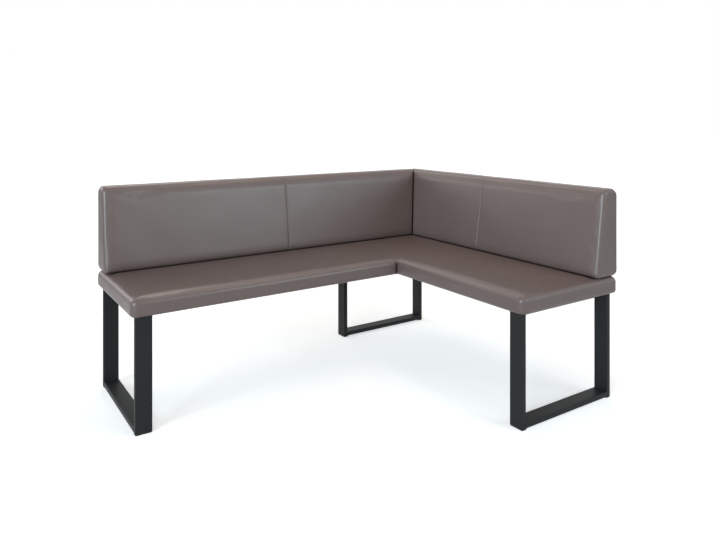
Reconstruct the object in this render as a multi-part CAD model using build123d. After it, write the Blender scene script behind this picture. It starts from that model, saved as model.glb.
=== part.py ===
from build123d import *
import math
import os

# Upholstered corner bench. Two padded seats butt together into an L, two wedge-shaped backrests
# stand on their rear edges and meet in a mitre, and three steel runner frames carry the seats.
# Millimetres, +Z up. The origin is on the floor under the middle of the bench's outer rectangle.
# The long arm lies along X at the rear (+Y), the short arm along Y at the right (+X).

# Overall sizes
LONG = 1705.0
SHORT = 1280.0
DEPTH = 556.0
HEIGHT = 830.0

# Seat pads
SEAT_UNDERSIDE = 414.0
SEAT_THICK = 66.0
SEAT_CROWN = 4.0
CROWN_MARGIN = 3.0
CROWN_RUN = 120.0
CROWN_BANDS = 4
SEAT_EDGE = 22.0
SEAT_LOWER_EDGE = 12.0
SEAT_CORNER = 26.0
INNER_CORNER = 3.0
SEAT_GAP = 0.6
SEAT_BOARD = 18.0
SEAT_EDGE_FOAM = 10.0
BATTEN_WIDTH = 85.0
SEAT_HEM = 35.0

# Upholstery shared by seats and backs
COVER = 1.2
FOAM_FIT = 0.2
LINING_FIT = 0.4

# Backrests: thickness at the foot and at the head of the wedge, and edge radii
BACK_FOOT = 131.0
BACK_HEAD = 84.0
BACK_SWELL = 5.0
BACK_TOP_EDGE = 24.0
BACK_LOWER_EDGE = 20.0
BACK_END_EDGE = 18.0
BACK_SETBACK = 4.0
BACK_HEM = 30.0
MITRE_GAP = 0.6
LONG_SEAM = 835.0
SHORT_SEAM = 665.0
SEAM_WIDTH = 4.0
SEAM_DEPTH = 2.5

# Timber carcass inside each backrest
FRONT_FOAM = 25.0
TOP_FOAM = 14.0
END_FOAM = 12.0
REAR_PANEL = 12.0
FRONT_PANEL = 4.0
BOTTOM_RAIL = 32.0
TOP_RAIL = 24.0
RIB = 18.0
LONG_RIBS = 5
SHORT_RIBS = 4

# Runner frames of flat rectangular tube
OVERHANG = 18.0
REAR_OVERHANG = 30.0
TUBE_WIDTH = 60.0
TUBE_THICK = 20.0
TUBE_WALL = 2.0
TUBE_CORNER = 3.0
STRIP = 4.0
GLIDE_THICK = 4.0
GLIDE_LENGTH = 24.0
GLIDE_MARGIN = 1.0
GLIDE_PLUG = 18.0
GLIDE_FIT = 0.3

# Frame screws with socket button heads, and tee nuts let into the seat boards
SCREW = 6.0
SCREW_LENGTH = 22.0
SCREW_HEAD = 12.0
SCREW_HEAD_HEIGHT = 3.6
SCREW_SOCKET = 4.0
SCREW_SOCKET_DEPTH = 2.2
SCREW_HOLE = 6.6
SCREWS_PER_FRAME = 4
SCREW_END = 60.0
SCREW_CLEAR = 40.0
TEE_BARREL = 8.6
TEE_BARREL_LENGTH = 13.0
TEE_FLANGE = 19.0
TEE_FLANGE_THICK = 1.6
THREAD_FIT = 0.1
HOLE_FIT = 0.2

# Plates that join the two seats from below
PLATE_LENGTH = 180.0
PLATE_WIDTH = 50.0
PLATE_THICK = 4.0
PLATE_FRONT = 100.0
PLATE_CLEAR = 70.0
PLATE_SCREW_REACH = (38.0, 72.0)
WOOD_SCREW = 4.5
WOOD_SCREW_LENGTH = 18.0
WOOD_SCREW_HEAD = 9.0
WOOD_SCREW_HEAD_HEIGHT = 2.6

# Bolts that hold each backrest to its seat, and the dowels across the mitre
BOLT = 8.0
BOLT_HOLE = 9.0
BOLT_FLANGE = 18.0
BOLT_FLANGE_THICK = 1.8
BOLT_HEX = 13.0
BOLT_HEX_HEIGHT = 5.0
BOLT_REACH = 22.0
BOLT_LINE = 58.0
BOLT_END = 140.0
BOLTS_PER_BACK = 3
INSERT = 14.0
INSERT_LENGTH = 24.0
DOWEL = 10.0
DOWEL_LENGTH = 60.0
DOWEL_LINE = 45.0
DOWEL_HEIGHTS = (95.0, 245.0)

# Places that follow from the sizes above
X0, X1 = -LONG / 2, LONG / 2
Y0, Y1 = -SHORT / 2, SHORT / 2
INNER_X = X1 - DEPTH
INNER_Y = Y1 - DEPTH
SEAT_TOP = SEAT_UNDERSIDE + SEAT_THICK
BACK_HEIGHT = HEIGHT - SEAT_TOP
SHORT_BUTT = INNER_X - INNER_CORNER
LONG_BUTT = SHORT_BUTT - SEAT_GAP
BOARD_BOTTOM = SEAT_UNDERSIDE + COVER
BOARD_TOP = BOARD_BOTTOM + SEAT_BOARD
BOARD_MARGIN = COVER + SEAT_EDGE_FOAM
BATTEN_FRONT = BOARD_MARGIN + BATTEN_WIDTH
STRIP_BOTTOM = SEAT_UNDERSIDE - STRIP
FRAME_DEPTH = DEPTH - OVERHANG - REAR_OVERHANG
CUT = 1.0

# Plan rectangle of each seat as x0, x1, y0, y1
LONG_RECT = (X0, LONG_BUTT, INNER_Y, Y1)
SHORT_RECT = (INNER_X, X1, Y0, Y1)

# Plan of the whole seat, counterclockwise from the long arm's front left corner
SEAT_PLAN = [(X0, INNER_Y), (INNER_X, INNER_Y), (INNER_X, Y0), (X1, Y0), (X1, Y1), (X0, Y1)]

# Backrest section as (y, z), counterclockwise: rear foot, rear head, front head, front foot
BACK_SECTION = [(0, 0), (0, BACK_HEIGHT), (-BACK_HEAD, BACK_HEIGHT), (-BACK_FOOT, 0)]

DIAGONAL = Plane(origin=(0, 0, 0), z_dir=(1, -1, 0))


def block(x0, x1, y0, y1, z0, z1):
    """A box between two corners."""
    return Pos((x0 + x1) / 2, (y0 + y1) / 2, (z0 + z1) / 2) * Box(x1 - x0, y1 - y0, z1 - z0)


def rod(x, y, z0, z1, diameter):
    """An upright cylinder from z0 to z1."""
    return Pos(x, y, (z0 + z1) / 2) * Cylinder(diameter / 2, z1 - z0)


def rods(points, z0, z1, diameter):
    """An upright cylinder at each point."""
    return [rod(x, y, z0, z1, diameter) for x, y in points]


def hex_prism(x, y, z, across_flats, height):
    """An upright hexagon from z up."""
    return extrude(Pos(x, y, z) * RegularPolygon(across_flats / 2, 6, major_radius=False), height)


def spread(first, last, count):
    """Evenly spaced values from first to last."""
    return [first + (last - first) * i / (count - 1) for i in range(count)]


def inset_outline(points, distances):
    """Corners of a counterclockwise outline after each side moves inward by its own distance."""
    sides = []
    for (ax, ay), (bx, by), distance in zip(points, points[1:] + points[:1], distances):
        length = math.hypot(bx - ax, by - ay)
        nx, ny = (ay - by) / length, (bx - ax) / length
        sides.append((nx, ny, nx * ax + ny * ay + distance))
    corners = []
    for (a, b, c), (d, e, f) in zip(sides[-1:] + sides[:-1], sides):
        turn = a * e - b * d
        corners.append(((c * e - b * f) / turn, (a * f - c * d) / turn))
    return corners


def rounded_face(points, radii):
    """A flat face with each corner rounded by its own radius."""
    return make_face(FilletPolyline(*points, radius=radii, close=True))


def on_long(shape):
    """Move a shape from arm axes (x from the free end, y back to 0) to the long arm."""
    return Pos(X0, Y1, 0) * shape


def on_short(shape):
    """Mirror a shape from arm axes onto the short arm."""
    return Pos(X1, Y0, 0) * mirror(shape, about=DIAGONAL)


def on_left_frame(shape):
    """Move a shape from frame axes (x across the tube, y from the front leg) to the left frame."""
    return Pos(X0 + OVERHANG, INNER_Y + OVERHANG, 0) * shape


def on_right_frame(shape):
    """Mirror a shape from frame axes onto the frame at the short arm's front end."""
    return Pos(INNER_X + OVERHANG, Y0 + OVERHANG, 0) * mirror(shape, about=DIAGONAL)


def on_corner_frame(shape):
    """Mirror a shape from frame axes onto the frame under the corner."""
    corner = Pos(INNER_X + OVERHANG, Y1 - REAR_OVERHANG - TUBE_WIDTH, 0)
    return corner * mirror(shape, about=DIAGONAL)


# Where fasteners stand

def frame_screw_line():
    """Distances of a frame's screws from its front end, clear of the seat's rear batten."""
    last = FRAME_DEPTH + REAR_OVERHANG - BATTEN_FRONT - SCREW_CLEAR
    return spread(SCREW_END, last, SCREWS_PER_FRAME)


def left_frame_points():
    """Plan points of the left frame's screws, in the long seat."""
    x = X0 + OVERHANG + TUBE_WIDTH / 2
    return [(x, INNER_Y + OVERHANG + y) for y in frame_screw_line()]


def short_frame_points():
    """Plan points of the two frames' screws in the short seat."""
    right = Y0 + OVERHANG + TUBE_WIDTH / 2
    corner = Y1 - REAR_OVERHANG - TUBE_WIDTH / 2
    return [(INNER_X + OVERHANG + x, y) for y in (right, corner) for x in frame_screw_line()]


def plate_lines():
    """Y of the two joining plates: near the inner corner and just ahead of the corner frame."""
    return [INNER_Y + PLATE_FRONT, Y1 - REAR_OVERHANG - TUBE_WIDTH - PLATE_CLEAR]


def plate_points():
    """Plan points of the joining plates' wood screws, both sides of the butt joint."""
    joint = LONG_BUTT + SEAT_GAP / 2
    reaches = [side * reach for side in (-1, 1) for reach in PLATE_SCREW_REACH]
    return [(joint + reach, y) for y in plate_lines() for reach in reaches]


def bolt_stations(seat_length):
    """Distances of a backrest's bolts from the arm's free end."""
    return spread(BOLT_END, seat_length - BOLT_END, BOLTS_PER_BACK)


LONG_BOLTS = [(X0 + a, Y1 - BOLT_LINE) for a in bolt_stations(LONG_BUTT - X0)]
SHORT_BOLTS = [(X1 - BOLT_LINE, Y0 + a) for a in bolt_stations(SHORT)]


# Seats

def seat_block(inset):
    """The L of both seats with rounded edges, every face moved inward by inset."""
    corner = SEAT_CORNER - inset
    outline = inset_outline(SEAT_PLAN, [inset] * len(SEAT_PLAN))
    plan = rounded_face(outline, [corner, INNER_CORNER + inset, corner, corner, corner, corner])
    solid = extrude(Pos(0, 0, SEAT_UNDERSIDE + inset) * plan, amount=SEAT_THICK - 2 * inset)
    solid = fillet(solid.faces().sort_by(Axis.Z)[-1].edges(), SEAT_EDGE - inset)
    return fillet(solid.faces().sort_by(Axis.Z)[0].edges(), SEAT_LOWER_EDGE - inset)


def crown_outline(run):
    """The L between the seat's edges and the backrests, moved inward by run."""
    edge = SEAT_EDGE + CROWN_MARGIN + run
    rear = BACK_FOOT + CROWN_MARGIN + run
    return inset_outline(SEAT_PLAN, [edge, edge, edge, rear, rear, edge])


def seat_crown(top):
    """The low rise of the seat's top, in bands that flatten towards its middle."""
    shares = spread(0, 1, CROWN_BANDS + 1)
    levels = [(CROWN_RUN * share, top + SEAT_CROWN * share * (2 - share)) for share in shares]
    levels.insert(0, (0, top - CUT))
    outlines = [(make_face(Polyline(*crown_outline(run), close=True)), z) for run, z in levels]
    return loft([Pos(0, 0, z) * face for face, z in outlines], ruled=True)


def seat_form(inset):
    """Both seats as one crowned L, every face moved inward by inset."""
    return seat_block(inset) + seat_crown(SEAT_TOP - inset)


def long_part(form, inset):
    """The long seat's share of an L form."""
    return split(form, bisect_by=Plane.YZ.offset(LONG_BUTT - inset), keep=Keep.BOTTOM)


def short_part(form, inset):
    """The short seat's share of an L form."""
    return split(form, bisect_by=Plane.YZ.offset(SHORT_BUTT + inset), keep=Keep.TOP)


def inset_rect(rect, margin, z0, z1):
    """A slab over a plan rectangle, moved inward by margin on each side."""
    x0, x1, y0, y1 = rect
    return block(x0 + margin, x1 - margin, y0 + margin, y1 - margin, z0, z1)


def underside_holes():
    """Holes for every fastener that enters a seat from below."""
    low, high = SEAT_UNDERSIDE - CUT, BOARD_TOP + CUT
    frame_points = left_frame_points() + short_frame_points()
    frame_holes = rods(frame_points, low, high, TEE_BARREL + 2 * HOLE_FIT)
    plate_holes = rods(plate_points(), low, BOARD_TOP - CUT, WOOD_SCREW + 2 * THREAD_FIT)
    return frame_holes + plate_holes + bolt_holes()


def bolt_holes():
    """Holes for the backrest bolts through a whole seat and a backrest's cover."""
    return rods(LONG_BOLTS + SHORT_BOLTS, SEAT_UNDERSIDE - CUT, SEAT_TOP + COVER + CUT, BOLT_HOLE)


def tee_pockets():
    """Room in the foam for the tee nuts' flanges."""
    points = left_frame_points() + short_frame_points()
    high = BOARD_TOP + TEE_FLANGE_THICK + FOAM_FIT
    return rods(points, BOARD_TOP - CUT, high, TEE_FLANGE + 2 * FOAM_FIT)


def seat_pieces(name, rect, part, batten):
    """Cover, foam, board, batten and underside lining of one seat."""
    opening = inset_rect(rect, SEAT_HEM, SEAT_UNDERSIDE - CUT, BOARD_BOTTOM)
    lining = inset_rect(rect, SEAT_HEM + LINING_FIT, SEAT_UNDERSIDE, BOARD_BOTTOM)
    board = inset_rect(rect, BOARD_MARGIN, BOARD_BOTTOM, BOARD_TOP)
    cover = part(seat_form(0), 0) - part(seat_form(COVER), COVER) - opening
    inside = COVER + FOAM_FIT
    filling = part(seat_form(inside), inside)
    return {
        name + "_cover": cover - underside_holes(),
        name + "_foam": filling - board - batten - tee_pockets() - bolt_holes(),
        name + "_board": (board & filling) - underside_holes(),
        name + "_batten": (batten & filling) - bolt_holes(),
        name + "_lining": lining - underside_holes(),
    }


def long_batten():
    """Timber under the long backrest, from the board up to the cover."""
    x0, x1 = X0 + BOARD_MARGIN, LONG_BUTT - BOARD_MARGIN
    return block(x0, x1, Y1 - BATTEN_FRONT, Y1 - BOARD_MARGIN, BOARD_TOP, SEAT_TOP - COVER)


def short_batten():
    """Timber under the short backrest, from the board up to the cover."""
    y0, y1 = Y0 + BOARD_MARGIN, Y1 - BOARD_MARGIN
    return block(X1 - BATTEN_FRONT, X1 - BOARD_MARGIN, y0, y1, BOARD_TOP, SEAT_TOP - COVER)


# Backrests, in arm axes: x from the arm's free end, y = 0 on the rear plane, z from the seat top

def mitred(shape, length, inset):
    """Cut a backrest piece at the corner's mitre, inset from the joint."""
    normal = DIAGONAL.z_dir
    origin = Vector(length, 0, 0) - normal * (MITRE_GAP / 2 + inset)
    return split(shape, bisect_by=Plane(origin=origin, z_dir=normal), keep=Keep.BOTTOM)


def back_face(inset):
    """The wedge section with rounded edges and a swelling front, moved inward by inset."""
    rear_foot, rear_head, front_head, front_foot = BACK_SECTION
    swell_y = (front_head[0] + front_foot[0]) / 2 - BACK_SWELL
    section = [rear_foot, rear_head, front_head, (swell_y, BACK_HEIGHT / 2), front_foot]
    outline = inset_outline(section, [inset] * len(section))
    half_front = math.dist(outline[2], outline[4]) / 2
    half_turn = math.atan(BACK_SWELL / half_front)
    swell_radius = half_front / 2 / math.tan(half_turn)
    top, low = BACK_TOP_EDGE - inset, BACK_LOWER_EDGE - inset
    return rounded_face(outline, [low, top, top, swell_radius, low])


def back_seam(seam, inset):
    """The sewn channel down the front and over the top of a backrest."""
    half = SEAM_WIDTH / 2 + inset
    skin = back_face(inset) - back_face(inset + SEAM_DEPTH)
    band = extrude(Plane.YZ.offset(seam - half) * skin, amount=2 * half)
    reach = BACK_FOOT + BACK_SWELL
    window = block(seam - half, seam + half, -reach, -BACK_TOP_EDGE, BACK_LOWER_EDGE, BACK_HEIGHT)
    return band & window


def back_form(length, seam, inset):
    """Outer form of a backrest, every face moved inward by inset."""
    start = BACK_SETBACK + inset
    solid = extrude(Plane.YZ.offset(start) * back_face(inset), amount=length - start)
    solid = fillet(solid.faces().sort_by(Axis.X)[0].edges(), BACK_END_EDGE - inset)
    return mitred(solid, length, inset) - back_seam(seam, inset)


def carcass_prism(length, rear, front, end, mitre):
    """The straight-sided wedge inside the foam, with its rear, front and two ends moved inward."""
    outline = inset_outline(BACK_SECTION, [rear, COVER + TOP_FOAM, front, COVER])
    face = make_face(Polyline(*outline, close=True))
    solid = extrude(Plane.YZ.offset(end) * face, amount=length - end)
    return mitred(solid, length, mitre)


def back_pieces(name, length, seam, ribs, bolts):
    """Every piece of one backrest, in arm axes with z from the seat top."""
    end = BACK_SETBACK + COVER + END_FOAM
    mitre = COVER + END_FOAM
    front = COVER + FRONT_FOAM
    inner_rear = COVER + REAR_PANEL
    inner_front = front + FRONT_PANEL
    low, high = COVER + BOTTOM_RAIL, BACK_HEIGHT - COVER - TOP_FOAM - TOP_RAIL
    depth = BACK_FOOT + BACK_SWELL

    inside = COVER + FOAM_FIT
    filling = back_form(length, seam, inside)
    carcass = carcass_prism(length, COVER, front, end, mitre)
    behind_front = carcass_prism(length, COVER, inner_front, end, mitre)
    between = carcass_prism(length, inner_rear, inner_front, end, mitre) & filling
    inner = mitred(between, length, mitre + RIB)
    rear_slab = block(0, length, -inner_rear, 0, 0, BACK_HEIGHT)

    last_rib = length - depth - 2 * RIB
    stations = spread(end, last_rib, ribs)
    rib_solids = [inner & block(a, a + RIB, -depth, 0, low, high) for a in stations]

    hem_start, hem_top = BACK_SETBACK + BACK_HEM, BACK_HEIGHT - BACK_HEM
    hem = block(hem_start, length - BACK_HEM, -COVER, CUT, BACK_HEM, hem_top)
    edge = BACK_HEM + LINING_FIT
    lining = block(BACK_SETBACK + edge, length - edge, -COVER, 0, edge, BACK_HEIGHT - edge)

    bolt_cuts = rods(bolts, -CUT, COVER + CUT, BOLT_HOLE)
    insert_cuts = rods(bolts, 0, COVER + INSERT_LENGTH, INSERT + 2 * HOLE_FIT)
    dowel_cuts = dowels(length, DOWEL + 2 * HOLE_FIT)
    shell = back_form(length, seam, 0) - back_form(length, seam, COVER) - hem
    return {
        name + "_cover": shell - bolt_cuts - dowel_cuts,
        name + "_foam": filling - carcass - dowel_cuts,
        name + "_rear_panel": carcass & filling & rear_slab,
        name + "_front_panel": (carcass & filling) - behind_front,
        name + "_bottom_rail": (inner & block(0, length, -depth, 0, 0, low)) - insert_cuts,
        name + "_top_rail": inner & block(0, length, -depth, 0, high, BACK_HEIGHT),
        name + "_ribs": Compound([solid for rib in rib_solids for solid in rib.solids()]),
        name + "_mitre_end": between - inner - dowel_cuts,
        name + "_lining": lining,
    }


def dowels(length, diameter):
    """The dowels square to the mitre, in arm axes with z from the seat top."""
    points = [(length - DOWEL_LINE, -DOWEL_LINE, z) for z in DOWEL_HEIGHTS]
    places = [Plane(point, z_dir=DIAGONAL.z_dir) for point in points]
    return [place * Cylinder(diameter / 2, DOWEL_LENGTH) for place in places]


# Runner frames, in frame axes: x across the tube, y from the front leg's outer face

def tube_section(shrink):
    """The tube's outline, smaller by shrink on each side."""
    return RectangleRounded(TUBE_WIDTH - 2 * shrink, TUBE_THICK - 2 * shrink, TUBE_CORNER - shrink)


def hollow_section():
    """The tube's section with its bore."""
    return tube_section(0) - tube_section(TUBE_WALL)


def leg(y):
    """An upright tube centred at y."""
    foot = Pos(TUBE_WIDTH / 2, y, GLIDE_THICK) * hollow_section()
    return extrude(foot, amount=STRIP_BOTTOM - GLIDE_THICK)


def runner():
    """The tube along the floor, welded between the two legs."""
    start = (TUBE_WIDTH / 2, TUBE_THICK, GLIDE_THICK + TUBE_THICK / 2)
    low_plane = Plane(start, x_dir=(1, 0, 0), z_dir=(0, 1, 0))
    return extrude(low_plane * hollow_section(), amount=FRAME_DEPTH - 2 * TUBE_THICK)


def top_strip():
    """The flat steel welded across the legs' tops, with a hole for each screw."""
    strip = block(0, TUBE_WIDTH, 0, FRAME_DEPTH, STRIP_BOTTOM, SEAT_UNDERSIDE)
    points = [(TUBE_WIDTH / 2, y) for y in frame_screw_line()]
    return strip - rods(points, STRIP_BOTTOM - CUT, SEAT_UNDERSIDE + CUT, SCREW_HOLE)


def glide(pad_y, leg_y):
    """A plastic foot: a pad under the tube's end and a plug up its bore."""
    pad = RectangleRounded(TUBE_WIDTH - 2 * GLIDE_MARGIN, GLIDE_LENGTH, TUBE_CORNER)
    plug = tube_section(TUBE_WALL + GLIDE_FIT)
    foot = extrude(Pos(TUBE_WIDTH / 2, pad_y, 0) * pad, amount=GLIDE_THICK)
    return foot + extrude(Pos(TUBE_WIDTH / 2, leg_y, GLIDE_THICK) * plug, amount=GLIDE_PLUG)


def button_screw(x, y):
    """A socket button-head screw driven up through a strip."""
    head = rod(x, y, STRIP_BOTTOM - SCREW_HEAD_HEIGHT, STRIP_BOTTOM, SCREW_HEAD)
    head = fillet(head.edges().sort_by(Axis.Z)[0], SCREW_HEAD_HEIGHT / 2)
    shank = rod(x, y, STRIP_BOTTOM, STRIP_BOTTOM + SCREW_LENGTH, SCREW)
    socket = hex_prism(x, y, STRIP_BOTTOM - SCREW_HEAD_HEIGHT, SCREW_SOCKET, SCREW_SOCKET_DEPTH)
    return head + shank - socket


def frame_pieces(name, place):
    """Every piece of one runner frame."""
    front, rear = TUBE_THICK / 2, FRAME_DEPTH - TUBE_THICK / 2
    pad_front, pad_rear = GLIDE_LENGTH / 2, FRAME_DEPTH - GLIDE_LENGTH / 2
    glides = [place(glide(pad_front, front)), place(glide(pad_rear, rear))]
    screws = [place(button_screw(TUBE_WIDTH / 2, y)) for y in frame_screw_line()]
    return {
        name + "_front_leg": place(leg(front)),
        name + "_rear_leg": place(leg(rear)),
        name + "_runner": place(runner()),
        name + "_top_strip": place(top_strip()),
        name + "_glides": group(glides),
        name + "_screws": group(screws),
    }


# Fasteners

def group(shapes):
    """Separate solids kept together in one node."""
    return Compound([solid for shape in shapes for solid in shape.solids()])


def tee_nut(x, y):
    """A tee nut pressed into the top of a seat board."""
    barrel = rod(x, y, BOARD_TOP - TEE_BARREL_LENGTH, BOARD_TOP, TEE_BARREL)
    flange = rod(x, y, BOARD_TOP, BOARD_TOP + TEE_FLANGE_THICK, TEE_FLANGE)
    bore = rod(x, y, BOARD_BOTTOM, BOARD_TOP + 2 * TEE_FLANGE_THICK, SCREW + 2 * THREAD_FIT)
    return barrel + flange - bore


def joining_plate(y):
    """A flat steel plate across the butt joint of the two seats."""
    joint = LONG_BUTT + SEAT_GAP / 2
    low, high = SEAT_UNDERSIDE - PLATE_THICK, SEAT_UNDERSIDE
    x0, x1 = joint - PLATE_LENGTH / 2, joint + PLATE_LENGTH / 2
    plate = block(x0, x1, y - PLATE_WIDTH / 2, y + PLATE_WIDTH / 2, low, high)
    return plate - rods(plate_points(), low - CUT, high + CUT, WOOD_SCREW + 2 * HOLE_FIT)


def wood_screw(x, y):
    """A pan-head screw up through a joining plate into a seat board."""
    seat = SEAT_UNDERSIDE - PLATE_THICK
    head = rod(x, y, seat - WOOD_SCREW_HEAD_HEIGHT, seat, WOOD_SCREW_HEAD)
    head = fillet(head.edges().sort_by(Axis.Z)[0], WOOD_SCREW_HEAD_HEIGHT / 2)
    return head + rod(x, y, seat, seat + WOOD_SCREW_LENGTH, WOOD_SCREW)


def back_bolt(x, y):
    """A flanged hex bolt from under the seat into a backrest's bottom rail."""
    flange = rod(x, y, SEAT_UNDERSIDE - BOLT_FLANGE_THICK, SEAT_UNDERSIDE, BOLT_FLANGE)
    hex_bottom = SEAT_UNDERSIDE - BOLT_FLANGE_THICK - BOLT_HEX_HEIGHT
    head = hex_prism(x, y, hex_bottom, BOLT_HEX, BOLT_HEX_HEIGHT)
    return flange + head + rod(x, y, SEAT_UNDERSIDE, SEAT_TOP + COVER + BOLT_REACH, BOLT)


def insert_nut(x, y):
    """A threaded insert in a backrest's bottom rail."""
    low, high = SEAT_TOP + COVER, SEAT_TOP + COVER + INSERT_LENGTH
    return rod(x, y, low, high, INSERT) - rod(x, y, low - CUT, high + CUT, BOLT + 2 * THREAD_FIT)


def fastener_pieces():
    """Screws, nuts, plates, bolts and dowels that are not part of one frame."""
    lift = Pos(0, 0, SEAT_TOP)
    return {
        "long_seat_tee_nuts": group([tee_nut(x, y) for x, y in left_frame_points()]),
        "short_seat_tee_nuts": group([tee_nut(x, y) for x, y in short_frame_points()]),
        "seat_joining_plates": group([joining_plate(y) for y in plate_lines()]),
        "joining_plate_screws": group([wood_screw(x, y) for x, y in plate_points()]),
        "long_back_bolts": group([back_bolt(x, y) for x, y in LONG_BOLTS]),
        "short_back_bolts": group([back_bolt(x, y) for x, y in SHORT_BOLTS]),
        "long_back_insert_nuts": group([insert_nut(x, y) for x, y in LONG_BOLTS]),
        "short_back_insert_nuts": group([insert_nut(x, y) for x, y in SHORT_BOLTS]),
        "back_corner_dowels": group([on_long(lift * dowel) for dowel in dowels(LONG, DOWEL)]),
    }


def bench():
    """Every node of the bench by name."""
    lift = Pos(0, 0, SEAT_TOP)
    arm_bolts = [(a, -BOLT_LINE) for a in bolt_stations(LONG_BUTT - X0)]
    short_arm_bolts = [(a, -BOLT_LINE) for a in bolt_stations(SHORT)]
    long_back = back_pieces("long_back", LONG, LONG_SEAM, LONG_RIBS, arm_bolts)
    short_back = back_pieces("short_back", SHORT, SHORT_SEAM, SHORT_RIBS, short_arm_bolts)
    nodes = {}
    nodes.update(seat_pieces("long_seat", LONG_RECT, long_part, long_batten()))
    nodes.update(seat_pieces("short_seat", SHORT_RECT, short_part, short_batten()))
    nodes.update({name: on_long(lift * shape) for name, shape in long_back.items()})
    nodes.update({name: on_short(lift * shape) for name, shape in short_back.items()})
    nodes.update(frame_pieces("left_frame", on_left_frame))
    nodes.update(frame_pieces("right_frame", on_right_frame))
    nodes.update(frame_pieces("corner_frame", on_corner_frame))
    nodes.update(fastener_pieces())
    return nodes


os.makedirs("parts", exist_ok=True)
for node, shape in bench().items():
    export_step(shape, os.path.join("parts", node + ".step"))
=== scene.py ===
"""Upholstered corner bench: firm padded seats and backrests on black runner frames, in a white studio."""

import logging
import math
from dataclasses import dataclass, field
from enum import Enum
from typing import Callable, Iterable, Sequence

import bmesh
import bpy
import numpy as np
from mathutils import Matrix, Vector


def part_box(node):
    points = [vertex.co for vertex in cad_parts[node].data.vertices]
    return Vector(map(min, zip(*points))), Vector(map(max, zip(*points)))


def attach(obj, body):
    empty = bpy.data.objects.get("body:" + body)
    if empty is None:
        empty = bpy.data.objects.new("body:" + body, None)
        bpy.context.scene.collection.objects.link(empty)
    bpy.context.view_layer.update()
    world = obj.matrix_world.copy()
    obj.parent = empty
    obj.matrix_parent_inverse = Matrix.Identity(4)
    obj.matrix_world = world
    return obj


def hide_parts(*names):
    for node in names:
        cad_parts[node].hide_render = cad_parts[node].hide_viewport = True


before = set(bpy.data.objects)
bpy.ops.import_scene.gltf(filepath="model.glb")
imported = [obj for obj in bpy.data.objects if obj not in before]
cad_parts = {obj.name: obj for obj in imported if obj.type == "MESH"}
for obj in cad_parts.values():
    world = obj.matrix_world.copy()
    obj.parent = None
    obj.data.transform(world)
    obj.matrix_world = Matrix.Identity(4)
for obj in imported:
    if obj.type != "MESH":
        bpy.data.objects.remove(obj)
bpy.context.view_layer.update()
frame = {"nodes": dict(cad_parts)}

log = logging.getLogger("corner_bench")

Span = tuple[float, float]
Triple = tuple[float, float, float]
Colour = tuple[float, float, float, float]
Test = Callable[[Vector, Vector], bool]
Plane = tuple[Sequence[float], Sequence[float]]

MM = 0.001
X_AXIS = Vector((1.0, 0.0, 0.0))
Y_AXIS = Vector((0.0, 1.0, 0.0))
UP = Vector((0.0, 0.0, 1.0))
BODY = "root"
# Name of the pads' attribute that says where painted shade darkens the leather in the folds
FOLD_SHADE = "fold"

# An odd place, so that the elements of a mesh lie at different distances from it
SORTING_POINT = (-3.137, -4.711, 5.293)
# How near a point counts as lying on a cutting plane or on a flat side
TOUCH = 0.2 * MM
# How squarely a face has to look along an axis to belong to a flat side
SQUARE = 0.99


# Hand tools

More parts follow.
